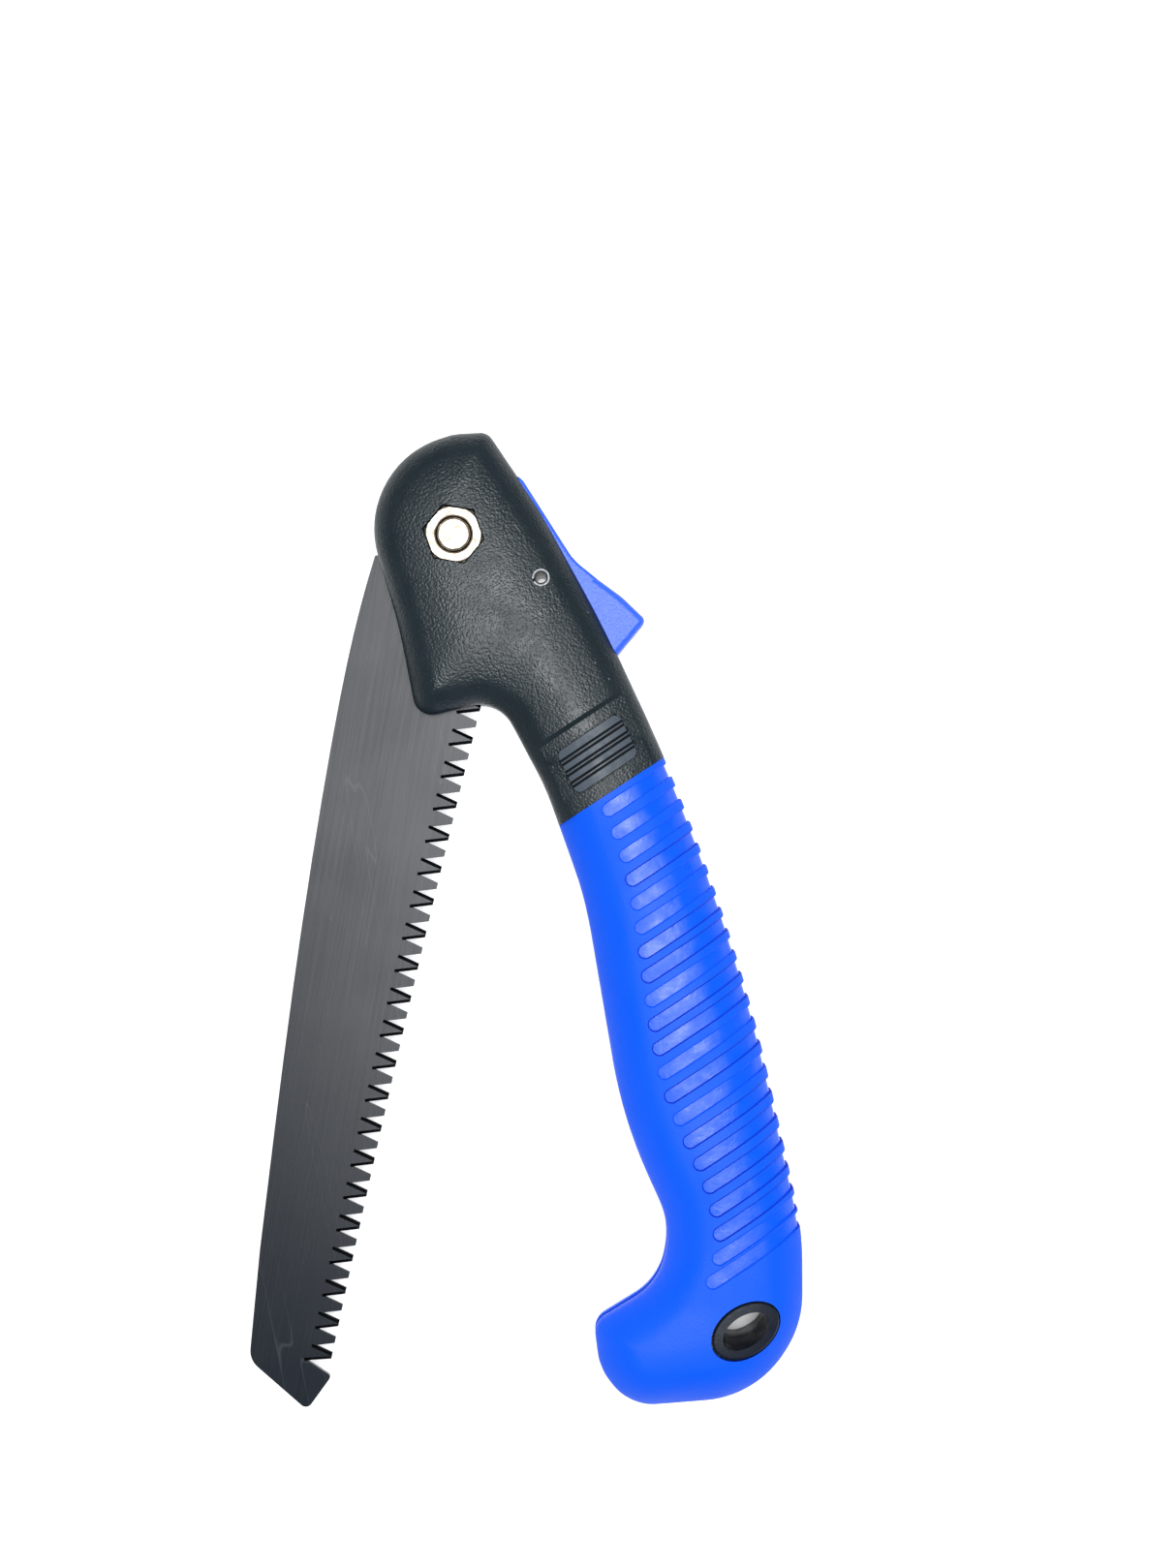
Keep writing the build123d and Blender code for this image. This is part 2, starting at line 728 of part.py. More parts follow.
def outer_edges(builder):
    """The long edges of a lever piece's outward faces, which the thumb meets."""
    outward = builder.faces().filter_by(
        lambda face: abs(face.normal_at().Z) < 0.01 and face.normal_at().X > 0.4
    )
    return outward.edges().filter_by(
        lambda edge: abs((edge @ 0.5).Z - mid) > 0.49 * lever_width
    )


with BuildPart() as release_lever:
    with BuildSketch(Plane.XY.offset(lever_low)):
        with BuildLine():
            FilletPolyline((18.6, 8.2), (19.4, 6.6), (24.0, -14.6), crest, radius=(0.6, 14.0))
            Polyline(
                crest,
                seam_inner,
                (19.5, -22.0),
                (pin_x - 0.9, pin_y - boss_radius + 0.1),
                (pin_x - boss_radius + 0.2, pin_y - 1.3),
                (pin_x - 1.6, pin_y + boss_radius - 0.3),
                (16.3, -8.6),
                (17.6, -4.0),
                (17.9, 1.0),
                (18.1, 5.0),
                (18.6, 8.2),
            )
        make_face()
        with Locations((pin_x, pin_y)):
            Circle(boss_radius)
    extrude(amount=lever_width)
    fillet(outer_edges(release_lever), lever_edge_radius)
    with BuildSketch(Plane.XY.offset(mid - tongue_width / 2)):
        add(tongue_shape.sketch)
    extrude(amount=tongue_width)
    with BuildSketch(Plane.XY.offset(pawl_low)):
        add(pawl_shape.sketch)
    extrude(amount=pawl_thickness, mode=Mode.SUBTRACT)
    with BuildSketch(Plane.XY.offset(lever_low)):
        with Locations((pin_x, pin_y)):
            Circle(pin_diameter / 2 + running_gap)
    extrude(amount=lever_width, mode=Mode.SUBTRACT)
    with BuildSketch(spring_plane):
        Circle(bore_radius)
    extrude(amount=bore_end - bay_floor, mode=Mode.SUBTRACT)
release_lever.part.label = "release_lever"

with BuildPart() as thumb_pad:
    with BuildSketch(Plane.XY.offset(lever_low)):
        with BuildLine():
            FilletPolyline(
                crest,
                (31.6, -26.6),
                (35.0, -33.6),
                (26.0, -38.8),
                (21.6, -37.6),
                seam_inner,
                radius=(14.0, 1.4, 1.0, 0.8),
            )
            Line(seam_inner, crest)
        make_face()
    extrude(amount=lever_width)
    fillet(outer_edges(thumb_pad), pad_edge_radius)
    with BuildSketch(Plane.XY.offset(mid - tongue_width / 2)):
        add(tongue_shape.sketch)
    extrude(amount=tongue_width, mode=Mode.SUBTRACT)
    with BuildSketch(spring_plane):
        Circle(bore_radius)
    extrude(amount=bore_end - bay_floor, mode=Mode.SUBTRACT)
thumb_pad.part.label = "thumb_pad"

with BuildPart() as lever_pin:
    with BuildSketch(Plane.XY.offset(pin_recess)):
        with Locations((pin_x, pin_y)):
            Circle(pin_diameter / 2)
            Circle(pin_diameter / 2 - pin_wall, mode=Mode.SUBTRACT)
        with Locations((pin_x - pin_diameter / 2, pin_y)):
            Rectangle(pin_diameter / 2, pin_split, mode=Mode.SUBTRACT)
    extrude(amount=handle_thickness - 2 * pin_recess)
lever_pin.part.label = "lever_pin"

spring_start = bay_floor - spring_seat + spring_wire / 2 + seat_gap
spring_length = bore_end - spring_wire / 2 - seat_gap - spring_start
with BuildPart() as lever_spring:
    with BuildLine() as coil:
        Helix(
            pitch=spring_length / spring_coils,
            height=spring_length,
            radius=(spring_diameter - spring_wire) / 2,
            center=(spring_start, spring_y, mid),
            direction=(1, 0, 0),
        )
    with BuildSketch(Plane(origin=coil.line @ 0, z_dir=coil.line % 0)):
        Circle(spring_wire / 2)
    sweep()
lever_spring.part.label = "lever_spring"

# ---------------------------------------------------------------- one file per piece
os.makedirs("parts", exist_ok=True)
pieces = [
    handle_core.part,
    grip_sleeve.part,
    inlay_near,
    inlay_far,
    eyelet_near,
    eyelet_far,
    pivot_nut.part,
    pivot_bolt.part,
    bolt_washer,
    spring_washer.part,
    pivot_bush,
    thrust_washer_near,
    thrust_washer_far,
    blade.part,
    lock_pawl.part,
    release_lever.part,
    thumb_pad.part,
    lever_pin.part,
    lever_spring.part,
]
for piece in pieces:
    export_step(piece, f"parts/{piece.label}.step")
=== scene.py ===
"""Folding pruning saw: looks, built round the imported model.

The saw lies on its far side on a white table, with the nut side up and its blade half out of the
handle. The script follows the saw as it is put together: table and light, handle moulding, rubber
grip, collar panels, eyelet, pivot, blade and lock. Lengths are in metres, written as so many mm.
"""

import math

import bmesh
import bpy
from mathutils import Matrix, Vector
from mathutils.kdtree import KDTree


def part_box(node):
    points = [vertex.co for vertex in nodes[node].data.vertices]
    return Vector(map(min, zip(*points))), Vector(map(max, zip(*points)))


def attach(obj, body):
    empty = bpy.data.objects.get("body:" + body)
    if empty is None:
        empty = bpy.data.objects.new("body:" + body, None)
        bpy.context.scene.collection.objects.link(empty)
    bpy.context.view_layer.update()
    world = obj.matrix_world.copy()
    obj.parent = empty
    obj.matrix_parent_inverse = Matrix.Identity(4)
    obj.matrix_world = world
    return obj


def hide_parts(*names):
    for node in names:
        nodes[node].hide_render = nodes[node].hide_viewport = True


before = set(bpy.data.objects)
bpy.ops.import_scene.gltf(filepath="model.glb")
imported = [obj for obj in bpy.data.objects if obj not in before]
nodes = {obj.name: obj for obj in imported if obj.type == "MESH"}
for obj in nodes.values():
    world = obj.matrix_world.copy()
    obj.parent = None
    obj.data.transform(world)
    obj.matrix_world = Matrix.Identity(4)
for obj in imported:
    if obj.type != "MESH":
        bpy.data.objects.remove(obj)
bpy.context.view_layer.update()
mm = 0.001

# ------------------------------------------------------------------ table, light and camera
# A white enamelled table top under a large softbox, in a dim room, so that the saw's dark faces
# stay dark and only what faces straight up shines. The camera looks straight down, and is turned
# so that the handle leans to the right.


def linear(code):
    """An sRGB colour such as "1f2a44" as the linear RGBA that shaders take."""
    shares = [int(code[i : i + 2], 16) / 255 for i in (0, 2, 4)]
    return [s / 12.92 if s <= 0.04045 else ((s + 0.055) / 1.055) ** 2.4 for s in shares] + [1.0]


def put(owner, kind, inputs=None, **settings):
    """Adds a node to a material or world, with its settings, values and links."""
    node = owner.node_tree.nodes.new(kind)
    for name, value in settings.items():
        setattr(node, name, value)
    for key, value in (inputs or {}).items():
        if isinstance(value, bpy.types.NodeSocket):
            owner.node_tree.links.new(value, node.inputs[key])
        else:
            node.inputs[key].default_value = value
    return node


def new_finish(name, **sockets):
    """A material with one Principled shader, whose constant sockets are given by name."""
    finish = bpy.data.materials.new(name)
    finish.use_nodes = True
    shader = finish.node_tree.nodes["Principled BSDF"]
    for key, value in sockets.items():
        shader.inputs[key.replace("_", " ")].default_value = value
    return finish, shader


def feed(owner, source, shader, socket):
    """Links a node's output into one of the shader's sockets."""
    owner.node_tree.links.new(source, shader.inputs[socket])


def give(finish, *names):
    """Puts a finish in the material slot of each named CAD node."""
    for name in names:
        nodes[name].data.materials.clear()
        nodes[name].data.materials.append(finish)


table_half = 1.5
table_form = bmesh.new()
bmesh.ops.create_grid(table_form, x_segments=1, y_segments=1, size=table_half)
table_mesh = bpy.data.meshes.new("table_top")
table_form.to_mesh(table_mesh)
table_form.free()
table = bpy.data.objects.new("table_top", table_mesh)
bpy.context.scene.collection.objects.link(table)

# The table top glows a little, painted light that fills its shadows; right under the eyelet's hole it
# doesn't glow, painted shade that keeps the hole dark.
white_table_painted_glow, shader = new_finish(
    "white_table_painted_glow", Base_Color=linear("f2f2f2"), Roughness=0.6, Emission_Color=linear("ffffff")
)
eyelet_low, eyelet_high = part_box("eyelet_near")
eyelet_centre = (eyelet_low + eyelet_high) / 2
where = put(white_table_painted_glow, "ShaderNodeTexCoord").outputs["Object"]
from_eyelet = put(
    white_table_painted_glow,
    "ShaderNodeVectorMath",
    {0: where, 1: (eyelet_centre.x, eyelet_centre.y, 0)},
    operation="DISTANCE",
)
glow = put(
    white_table_painted_glow,
    "ShaderNodeMapRange",
    {
        "Value": from_eyelet.outputs["Value"],
        "From Min": 8 * mm,
        "From Max": 13 * mm,
        "To Min": 0.0,
        "To Max": 0.62,
    },
)
feed(white_table_painted_glow, glow.outputs["Result"], shader, "Emission Strength")
table_mesh.materials.append(white_table_painted_glow)

studio = bpy.data.worlds.new("studio")
studio.use_nodes = True
walls = studio.node_tree.nodes["Background"]
walls.inputs["Color"].default_value = linear("f4f7ff")
# The backdrop is white where it is seen, and dim where it only lights the saw.
is_seen = put(studio, "ShaderNodeLightPath").outputs["Is Camera Ray"]
brightness = put(studio, "ShaderNodeMapRange", {0: is_seen, 3: 0.22, 4: 1.0})
studio.node_tree.links.new(brightness.outputs["Result"], walls.inputs["Strength"])
bpy.context.scene.world = studio
bpy.context.scene.view_settings.view_transform = "Standard"

softbox_data = bpy.data.lights.new("softbox", "AREA")
softbox_data.shape = "SQUARE"
softbox_data.size = 0.55
softbox_data.energy = 14.0
softbox = bpy.data.objects.new("softbox", softbox_data)
softbox.location = (0.05, -0.05, 1.2)
bpy.context.scene.collection.objects.link(softbox)

camera_data = bpy.data.cameras.new("camera")
camera_data.sensor_width = 36.0
camera_data.lens = 58.84
camera = bpy.data.objects.new("camera", camera_data)
camera.location = (0.00916, -0.06457, 0.612)
camera.rotation_euler = (0, 0, math.radians(-20.2))
bpy.context.scene.collection.objects.link(camera)
bpy.context.scene.camera = camera

# ------------------------------------------------------------------ handle moulding
# Glass-filled nylon, injection moulded in two-part tooling with a spark-eroded grain. Its broad
# faces are crowned: highest down the middle, falling away towards the outline all round.
handle_low, handle_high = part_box("handle_core")
middle = (handle_low.z + handle_high.z) / 2
half_thickness = (handle_high.z - handle_low.z) / 2
weld = 0.002 * mm
point_spacing = 0.4 * mm
shared = 0.7 * mm               # nearer than this, the core and the grip share an edge
crown_height = 3.4 * mm
crown_start = 3 * mm            # from the middle plane, below which the sides stay upright
crown_width_grip = 15 * mm
crown_width_head = 18 * mm
neck_top, neck_bottom = -40 * mm, -70 * mm  # where the one width turns into the other
smooth_up_to = math.radians(22)


def joined_copy(name):
    """A CAD node's triangles in a bmesh, with their shared corners joined."""
    form = bmesh.new()
    form.from_mesh(nodes[name].data)
    bmesh.ops.remove_doubles(form, verts=form.verts, dist=weld)
    return form


def outer_loop(name, height):
    """Points along the longest loop in which a level plane cuts a CAD node."""
    form = joined_copy(name)
    cut = bmesh.ops.bisect_plane(
        form,
        geom=form.verts[:] + form.edges[:] + form.faces[:],
        plane_co=(0, 0, height),
        plane_no=(0, 0, 1),
    )["geom_cut"]
    edges = {e for e in cut if isinstance(e, bmesh.types.BMEdge)}
    longest = []
    while edges:
        loop, front = [], [edges.pop()]
        while front:
            edge = front.pop()
            loop.append(edge)
            for vert in edge.verts:
                for other in vert.link_edges:
                    if other in edges:
                        edges.remove(other)
                        front.append(other)
        if sum(e.calc_length() for e in loop) > sum(e.calc_length() for e in longest):
            longest = loop
    points = []
    for edge in longest:
        start, end = (v.co.copy() for v in edge.verts)
        pieces = max(1, round(edge.calc_length() / point_spacing))
        points += [start.lerp(end, k / pieces) for k in range(pieces)]
    form.free()
    return points


def tree_of(points):
    """A search tree for the nearest of some points."""
    tree = KDTree(len(points))
    for index, point in enumerate(points):
        tree.insert(point, index)
    tree.balance()
    return tree


# Where the grip's inside and the core meet isn't outline, so points that both have are left out.
above_bay = middle + 6.5 * mm     # clear of the lever's bay, so that the section is whole
core_points = outer_loop("handle_core", above_bay)
grip_points = outer_loop("grip_sleeve", above_bay)
core_tree, grip_tree = tree_of(core_points), tree_of(grip_points)
outline = [p for p in core_points if grip_tree.find(p)[2] > shared]
outline += [p for p in grip_points if core_tree.find(p)[2] > shared]
outline_tree = tree_of(outline)


def crown(point):
    """Lowers a point of the handle's two broad sides by the crown's fall at that place."""
    inward = outline_tree.find((point.x, point.y, above_bay))[2]
    headward = min(1.0, max(0.0, (point.y - neck_bottom) / (neck_top - neck_bottom)))
    width = crown_width_grip + headward * (crown_width_head - crown_width_grip)
    fall = crown_height * max(0.0, 1 - inward / width) ** 2
    rise = abs(point.z - middle)
    share = min(1.0, max(0.0, (rise - crown_start) / (half_thickness - crown_start)))
    point.z -= math.copysign(fall * share, point.z - middle)


def crowned(name, piece_name, finishes, spacing, detail=None):
    """A new piece from a CAD node: detailed, cut into small faces, crowned and smoothed."""
    form = joined_copy(name)
    bmesh.ops.dissolve_limit(
        form, angle_limit=math.radians(0.15), verts=form.verts, edges=form.edges
    )
    if detail:
        detail(form)
    low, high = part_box(name)
    for axis in (0, 1):
        direction = Vector((1 - axis, axis, 0))
        for step in range(1, math.ceil((high[axis] - low[axis]) / spacing)):
            bmesh.ops.bisect_plane(
                form,
                geom=form.verts[:] + form.edges[:] + form.faces[:],
                dist=1e-7,
                plane_co=direction * (low[axis] + step * spacing),
                plane_no=direction,
            )
    for vert in form.verts:
        crown(vert.co)
    form.normal_update()
    mesh = bpy.data.meshes.new(piece_name)
    form.to_mesh(mesh)
    form.free()
    if "custom_normal" in mesh.attributes:
        mesh.attributes.remove(mesh.attributes["custom_normal"])
    for finish in finishes:
        mesh.materials.append(finish)
    mesh.shade_smooth()
    mesh.set_sharp_from_angle(angle=smooth_up_to)
    piece = bpy.data.objects.new(piece_name, mesh)
    bpy.context.scene.collection.objects.link(piece)
    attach(piece, "handle")
    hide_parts(name)
    return piece


# Black glass-filled nylon with a spark-eroded leather grain: each cell catches the light on one
# side, so the sheen breaks up into specks. Rubbed places are a little smoother, and the grain
# holds a few specks of pale dust.
nylon_colour = linear("18262c")
black_nylon, shader = new_finish(
    "moulded_black_nylon", Base_Color=nylon_colour, Roughness=0.38, Specular_IOR_Level=0.4
)
where = put(black_nylon, "ShaderNodeTexCoord").outputs["Object"]
grain_warp = put(
    black_nylon, "ShaderNodeTexNoise", {"Vector": where, "Scale": 1 / (1.2 * mm), "Detail": 1.0}
)
warped = put(
    black_nylon,
    "ShaderNodeVectorMath",
    {0: grain_warp.outputs["Color"], 1: (0.5 * mm,) * 3, 2: where},
    operation="MULTIPLY_ADD",
)
grain_size = 0.5 * mm           # the real grain's cells
grain = put(
    black_nylon,
    "ShaderNodeTexVoronoi",
    {"Vector": warped.outputs["Vector"], "Scale": 1 / grain_size},
    feature="SMOOTH_F1",
)
grain_bump = put(
    black_nylon,
    "ShaderNodeBump",
    {"Height": grain.outputs["Distance"], "Distance": 0.15 * mm, "Strength": 0.75},
    invert=True,
)
feed(black_nylon, grain_bump.outputs["Normal"], shader, "Normal")
mottle = put(
    black_nylon, "ShaderNodeTexNoise", {"Vector": where, "Scale": 1 / (7 * mm), "Detail": 4.0}
)
dullness = put(
    black_nylon, "ShaderNodeMapRange", {0: mottle.outputs["Fac"], 1: 0.35, 2: 0.65, 3: 0.33, 4: 0.43}
)
feed(black_nylon, dullness.outputs["Result"], shader, "Roughness")
dust = put(black_nylon, "ShaderNodeTexVoronoi", {"Vector": where, "Scale": 1 / (7 * mm)})
speck = put(
    black_nylon, "ShaderNodeMapRange", {0: dust.outputs["Distance"], 1: 0.02, 2: 0.045, 3: 0.7, 4: 0.0}
)
dusty = put(
    black_nylon,
    "ShaderNodeMix",
    {0: speck.outputs["Result"], 6: nylon_colour, 7: linear("7d8283")},
    data_type="RGBA",
)
feed(black_nylon, dusty.outputs[2], shader, "Base Color")
crowned("handle_core", "handle_moulding", [black_nylon], 2.5 * mm)

# ------------------------------------------------------------------ rubber grip
# A sleeve of bright blue thermoplastic rubber moulded over the nylon core. Its lands are fine
# matt, and the floors of its grooves are smoother, so they shine in blotches. The steep walls of
# the grooves reflect only the dim room, and are also coloured a darker blue as painted shade, a thin
# darker line.
groove_depth = 0.7 * mm
nearly = 0.05 * mm
rubber_blue = linear("045efc")


def sort_grooves(form):
    """Puts the groove floors in the second finish, and rims and walls in the third, a darker blue of
    painted shade.
    """
    fold = math.radians(32)
    left = set(form.faces)
    patches = []
    while left:
        patch, front = [], [left.pop()]
        while front:
            face = front.pop()
            patch.append(face)
            for edge in face.edges:
                if edge.is_manifold and edge.calc_face_angle() < fold:
                    for other in edge.link_faces:
                        if other in left:
                            left.remove(other)
                            front.append(other)
        patches.append(patch)
    floor_top = middle + half_thickness - groove_depth
    tops = [max(vert.co.z for face in patch for vert in face.verts) for patch in patches]
    raised = [patch for patch, top in zip(patches, tops) if top > floor_top + nearly]
    lands = max(raised, key=lambda patch: sum(face.calc_area() for face in patch))
    for patch, top in zip(patches, tops):
        is_floor = abs(top - floor_top) < nearly
        is_wall = top > floor_top + nearly and patch is not lands
        for face in patch:
            face.material_index = 1 if is_floor else 2 if is_wall else 0


matt_rubber, shader = new_finish(
    "matt_blue_rubber", Base_Color=rubber_blue, Roughness=0.5, Specular_IOR_Level=0.2
)
where = put(matt_rubber, "ShaderNodeTexCoord").outputs["Object"]
rubber_grain = put(
    matt_rubber, "ShaderNodeTexNoise", {"Vector": where, "Scale": 1 / (0.5 * mm), "Detail": 2.0}
)
rubber_bump = put(
    matt_rubber,
    "ShaderNodeBump",
    {"Height": rubber_grain.outputs["Fac"], "Distance": 0.12 * mm, "Strength": 0.5},
)
feed(matt_rubber, rubber_bump.outputs["Normal"], shader, "Normal")
handling = put(
    matt_rubber, "ShaderNodeTexNoise", {"Vector": where, "Scale": 1 / (14 * mm), "Detail": 3.0}
)
handled = put(
    matt_rubber, "ShaderNodeMapRange", {0: handling.outputs["Fac"], 1: 0.35, 2: 0.65, 3: 0.46, 4: 0.58}
)
feed(matt_rubber, handled.outputs["Result"], shader, "Roughness")
lint = put(matt_rubber, "ShaderNodeTexVoronoi", {"Vector": where, "Scale": 1 / (11 * mm)})
fleck = put(
    matt_rubber, "ShaderNodeMapRange", {0: lint.outputs["Distance"], 1: 0.02, 2: 0.035, 3: 0.6, 4: 0.0}
)
flecked = put(
    matt_rubber,
    "ShaderNodeMix",
    {0: fleck.outputs["Result"], 6: rubber_blue, 7: linear("0a2f96")},
    data_type="RGBA",
)
feed(matt_rubber, flecked.outputs[2], shader, "Base Color")

gloss_rubber, shader = new_finish(
    "smooth_blue_rubber", Base_Color=rubber_blue, Roughness=0.34, Specular_IOR_Level=0.32
)
where = put(gloss_rubber, "ShaderNodeTexCoord").outputs["Object"]
blotch = put(
    gloss_rubber, "ShaderNodeTexNoise", {"Vector": where, "Scale": 1 / (4 * mm), "Detail": 4.0}
)
blotched = put(
    gloss_rubber, "ShaderNodeMapRange", {0: blotch.outputs["Fac"], 1: 0.35, 2: 0.65, 3: 0.24, 4: 0.44}
)
feed(gloss_rubber, blotched.outputs["Result"], shader, "Roughness")
ripple_bump = put(
    gloss_rubber,
    "ShaderNodeBump",
    {"Height": blotch.outputs["Fac"], "Distance": 0.3 * mm, "Strength": 0.5},
)
feed(gloss_rubber, ripple_bump.outputs["Normal"], shader, "Normal")

# The walls' darker blue is painted shade, the shade a groove's wall holds.
groove_shade_finish, shader = new_finish(
    "painted_groove_shade_rubber", Base_Color=linear("0236c8"), Roughness=0.6, Specular_IOR_Level=0.2
)
where = put(groove_shade_finish, "ShaderNodeTexCoord").outputs["Object"]
wall_grain = put(
    groove_shade_finish, "ShaderNodeTexNoise", {"Vector": where, "Scale": 1 / (0.6 * mm), "Detail": 2.0}
)
wall_bump = put(
    groove_shade_finish,
    "ShaderNodeBump",
    {"Height": wall_grain.outputs["Fac"], "Distance": 0.08 * mm, "Strength": 0.4},
)
feed(groove_shade_finish, wall_bump.outputs["Normal"], shader, "Normal")
crowned(
    "grip_sleeve",
    "rubber_grip",
    [matt_rubber, gloss_rubber, groove_shade_finish],
    2.5 * mm,
    detail=sort_grooves,
)

# ------------------------------------------------------------------ collar panels
# Snap-in nylon plates in the collar's two pockets, polished in the mould, with pairs of lines
# across them. Their broken edges and the lines are coloured near-black as painted shade, and the plates
# look blue-grey.
edge_break = 0.15 * mm
below_face = 0.08 * mm


def break_edges(form):
    """Bevels the square edges of a panel's outer face, and gives what lies lower the painted shade."""
    levels = [vert.co.z for vert in form.verts]
    outer = max(levels) if max(levels) + min(levels) > 2 * middle else min(levels)
    square = [
        edge
        for edge in form.edges
        if edge.is_manifold
        and edge.calc_face_angle() > math.radians(60)
        and all(abs(vert.co.z - outer) < 0.02 * mm for vert in edge.verts)
    ]
    bmesh.ops.bevel(
        form,
        geom=square,
        offset=edge_break,
        affect="EDGES",
        segments=1,
        profile=0.5,
        material=-1,
    )
    for face in form.faces:
        face.material_index = int(any(abs(v.co.z - outer) > below_face for v in face.verts))


panel_nylon, shader = new_finish(
    "polished_grey_nylon", Base_Color=linear("424e5a"), Roughness=0.42, Specular_IOR_Level=0.3
)
where = put(panel_nylon, "ShaderNodeTexCoord").outputs["Object"]
haze = put(
    panel_nylon, "ShaderNodeTexNoise", {"Vector": where, "Scale": 1 / (3 * mm), "Detail": 5.0}
)
hazy = put(
    panel_nylon, "ShaderNodeMapRange", {0: haze.outputs["Fac"], 1: 0.35, 2: 0.65, 3: 0.34, 4: 0.52}
)
feed(panel_nylon, hazy.outputs["Result"], shader, "Roughness")
haze_bump = put(
    panel_nylon,
    "ShaderNodeBump",
    {"Height": haze.outputs["Fac"], "Distance": 0.2 * mm, "Strength": 0.3},
)
feed(panel_nylon, haze_bump.outputs["Normal"], shader, "Normal")

# A mottled near-black finish: painted shade for the panel's lines, broken edges and sides.
panel_shade, shader = new_finish(
    "painted_line_shade_nylon", Base_Color=linear("0c1014"), Roughness=0.7, Specular_IOR_Level=0.15
)
where = put(panel_shade, "ShaderNodeTexCoord").outputs["Object"]
shade_mottle = put(
    panel_shade, "ShaderNodeTexNoise", {"Vector": where, "Scale": 1 / (1.5 * mm), "Detail": 3.0}
)
mottled_shade = put(
    panel_shade,
    "ShaderNodeMix",
    {0: shade_mottle.outputs["Fac"], 6: linear("080b0e"), 7: linear("12181e")},
    data_type="RGBA",
)
feed(panel_shade, mottled_shade.outputs[2], shader, "Base Color")
for side in ("near", "far"):
    crowned(
        "inlay_" + side,
        "collar_panel_" + side,
        [panel_nylon, panel_shade],
        1.5 * mm,
        detail=break_edges,
    )

# ------------------------------------------------------------------ eyelet
# Two flanged nylon halves pressed together through the butt, with an oval hole for a cord. Their
# moulded face is matt, with fine sparks of grain, and looks almost black with a blue cast.
eyelet_nylon, shader = new_finish(
    "matt_eyelet_nylon", Base_Color=linear("121c2b"), Roughness=0.5, Specular_IOR_Level=0.3
)
where = put(eyelet_nylon, "ShaderNodeTexCoord").outputs["Object"]
eyelet_grain = put(
    eyelet_nylon, "ShaderNodeTexNoise", {"Vector": where, "Scale": 1 / (0.5 * mm), "Detail": 3.0}
)
eyelet_bump = put(
    eyelet_nylon,
    "ShaderNodeBump",
    {"Height": eyelet_grain.outputs["Fac"], "Distance": 0.15 * mm, "Strength": 0.5},
)
feed(eyelet_nylon, eyelet_bump.outputs["Normal"], shader, "Normal")
eyelet_wear = put(
    eyelet_nylon, "ShaderNodeTexNoise", {"Vector": where, "Scale": 1 / (4 * mm), "Detail": 2.0}
)
eyelet_worn = put(
    eyelet_nylon, "ShaderNodeMapRange", {0: eyelet_wear.outputs["Fac"], 1: 0.35, 2: 0.65, 3: 0.4, 4: 0.6}
)
feed(eyelet_nylon, eyelet_worn.outputs["Result"], shader, "Roughness")
for side in ("near", "far"):
    crowned("eyelet_" + side, "eyelet_half_" + side, [eyelet_nylon], 1.5 * mm)

# ------------------------------------------------------------------ pivot
# An M8 bolt, with its head sunk in the far side and its nut in the near side, clamps a hardened
# bush that the blade turns on, between two nylon thrust washers. Nut, bolt and flat washer are
# zinc plated: warm white metal with the rings of its turning, and dark grease round the thread.
thread_radius = 4.0 * mm
ring_pitch = 0.45 * mm          # real turning is near 0.15 mm, and is drawn coarser to show

zinc_plate, shader = new_finish(
    "zinc_plated_steel", Base_Color=linear("d6cfc2"), Roughness=0.4, Metallic=1.0
)
where = put(zinc_plate, "ShaderNodeTexCoord").outputs["Object"]
flat_where = put(zinc_plate, "ShaderNodeVectorMath", {0: where, 1: (1, 1, 0)}, operation="MULTIPLY")
radius = put(zinc_plate, "ShaderNodeVectorMath", {0: flat_where.outputs["Vector"]}, operation="LENGTH")
from_thread = put(
    zinc_plate, "ShaderNodeMath", {0: radius.outputs["Value"], 1: thread_radius}, operation="SUBTRACT"
)
thread_offset = put(
    zinc_plate, "ShaderNodeMath", {0: from_thread.outputs["Value"]}, operation="ABSOLUTE"
)
grease = put(
    zinc_plate,
    "ShaderNodeMapRange",
    {0: thread_offset.outputs["Value"], 1: 0.15 * mm, 2: 0.38 * mm, 3: 0.95, 4: 0.0},
)
tarnish = put(
    zinc_plate, "ShaderNodeTexNoise", {"Vector": where, "Scale": 1 / (1.6 * mm), "Detail": 4.0}
)
plate_colour = put(
    zinc_plate,
    "ShaderNodeMix",
    {0: tarnish.outputs["Fac"], 6: linear("cfc8bd"), 7: linear("8f8371")},
    data_type="RGBA",
)
greased = put(
    zinc_plate,
    "ShaderNodeMix",
    {0: grease.outputs["Result"], 6: plate_colour.outputs[2], 7: linear("2e2822")},
    data_type="RGBA",
)
feed(zinc_plate, greased.outputs[2], shader, "Base Color")
rings = put(
    zinc_plate,
    "ShaderNodeMath",
    {0: radius.outputs["Value"], 1: math.tau / ring_pitch},
    operation="MULTIPLY",
)
ring_wave = put(zinc_plate, "ShaderNodeMath", {0: rings.outputs["Value"]}, operation="SINE")
ring_bump = put(
    zinc_plate,
    "ShaderNodeBump",
    {"Height": ring_wave.outputs["Value"], "Distance": 0.02 * mm, "Strength": 0.6},
)
feed(zinc_plate, ring_bump.outputs["Normal"], shader, "Normal")
plate_dullness = put(
    zinc_plate, "ShaderNodeMapRange", {0: tarnish.outputs["Fac"], 1: 0.35, 2: 0.65, 3: 0.3, 4: 0.48}
)
feed(zinc_plate, plate_dullness.outputs["Result"], shader, "Roughness")
give(zinc_plate, "pivot_nut", "pivot_bolt", "bolt_washer")

